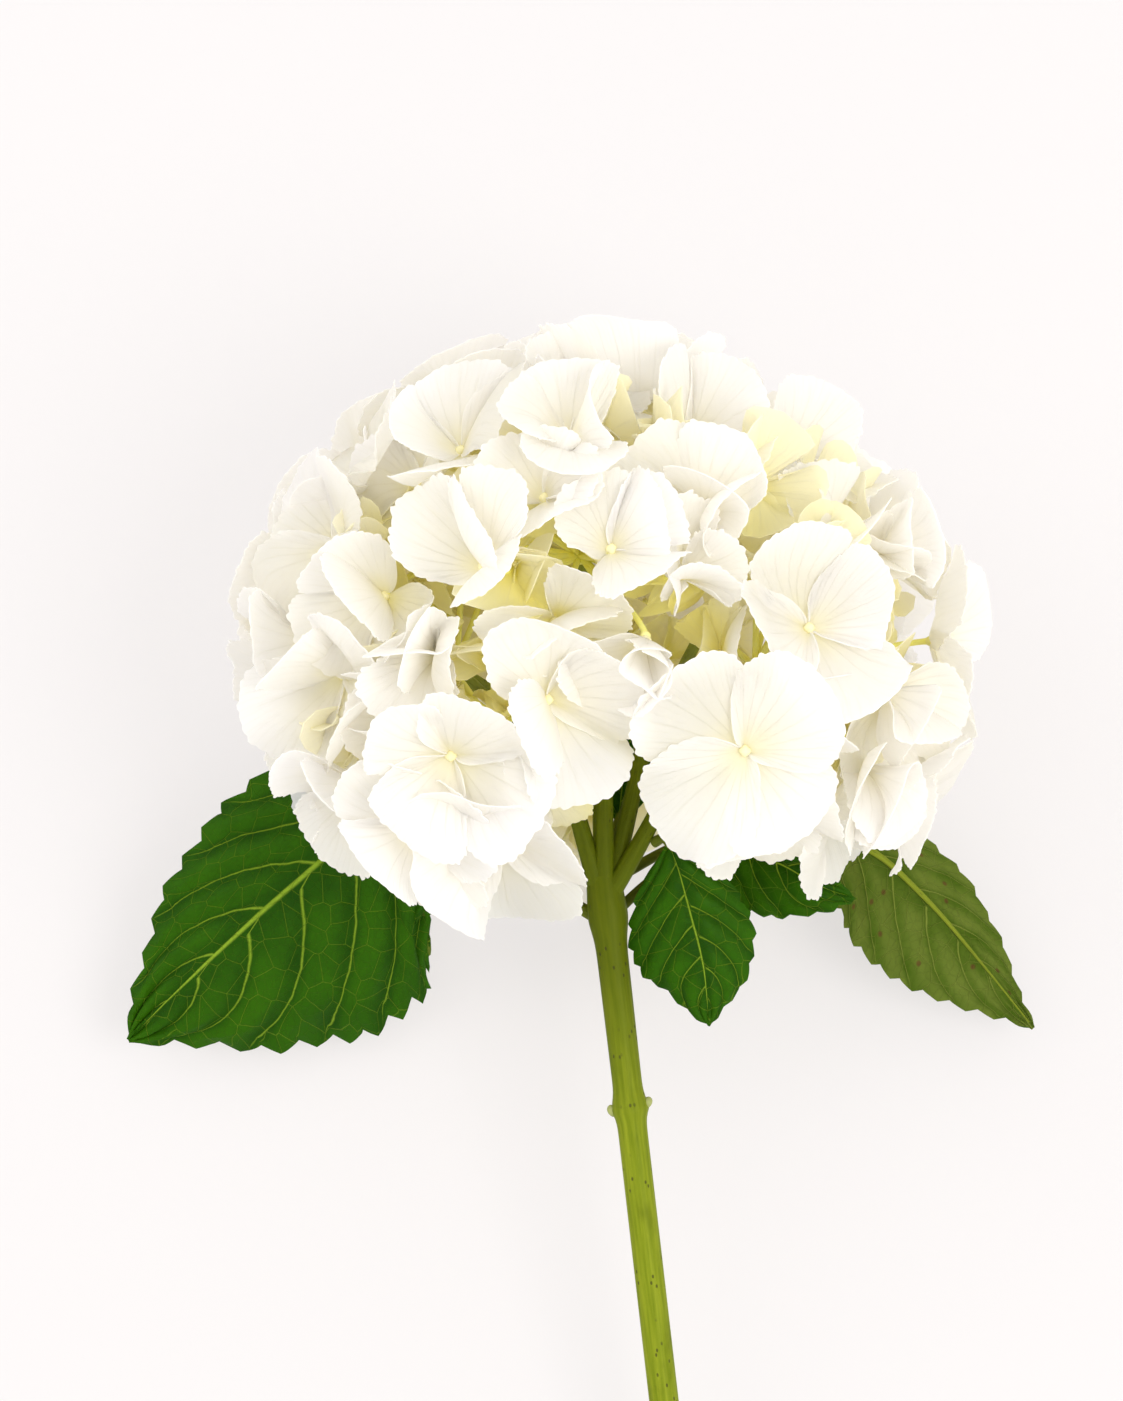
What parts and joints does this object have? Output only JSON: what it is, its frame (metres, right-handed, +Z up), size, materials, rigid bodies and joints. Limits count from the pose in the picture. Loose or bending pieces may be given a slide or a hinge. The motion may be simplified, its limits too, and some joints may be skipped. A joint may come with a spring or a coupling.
{
  "type": "cut hydrangea",
  "caption": "Cut mophead hydrangea lying on its side: a round head of cream-white four-sepalled florets over broad toothed leaves on a slanted-cut green stem.",
  "frame": {"origin": "under the middle of the whole flower, at the height of the surface that it lies on", "axes": "+Y from the cut end of the stem towards the crown of the head, +Z up from the surface, +X to the flower's right seen from above with the crown away"},
  "size_m": [0.228, 0.3684, 0.1567],
  "materials": {
    "sepal": "soft, slightly translucent",
    "leaf": "satin, waxy",
    "stem": "satin, fresh green"
  },
  "bodies": {
    "root": {"cluster_crown": "sepal", "cluster_low_right": "sepal", "cluster_low_left": "sepal", "cluster_left": "sepal", "cluster_right": "sepal", "cluster_crown_right": "sepal", "cluster_crown_left": "sepal", "cluster_crown_back": "sepal", "cluster_back_left": "sepal", "cluster_back_right": "sepal", "cluster_back": "sepal", "leaf_left": "leaf", "leaf_middle": "leaf", "leaf_folded": "leaf", "leaf_right": "leaf", "leaf_bract": "leaf", "stem": "stem"}
  },
  "joints": []
}
